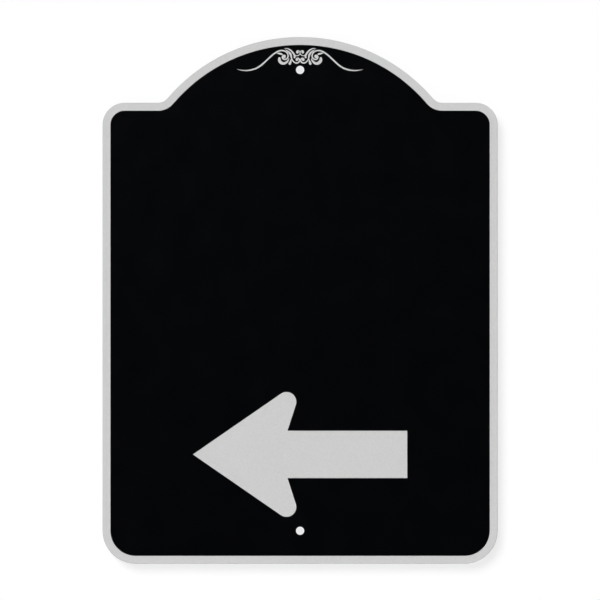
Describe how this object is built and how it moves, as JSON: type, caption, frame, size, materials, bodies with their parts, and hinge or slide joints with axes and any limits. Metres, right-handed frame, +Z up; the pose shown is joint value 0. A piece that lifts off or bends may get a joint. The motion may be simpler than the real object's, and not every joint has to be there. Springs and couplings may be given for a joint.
{
  "type": "one way sign",
  "caption": "Flat arched road sign panel with a silver border, a left-pointing arrow and a scroll flourish on a black field, and bolt holes for a single post.",
  "frame": {"origin": "midway between the two bolt holes, on the back face of the metal blank", "axes": "+Z up to the crown of the arch, +Y from the front of the sign to its back along the bolts, +X to the reader's right"},
  "size_m": [0.4572, 0.0024, 0.6096],
  "materials": {
    "aluminium_sheet": "mill finish, satin with a fine rolling grain",
    "silver_film": "silver reflective film, smooth satin",
    "black_film": "black film, semi-gloss"
  },
  "bodies": {
    "root": {"aluminium_blank": "aluminium_sheet", "silver_sheeting": "silver_film", "black_overlay": "black_film"}
  },
  "joints": []
}
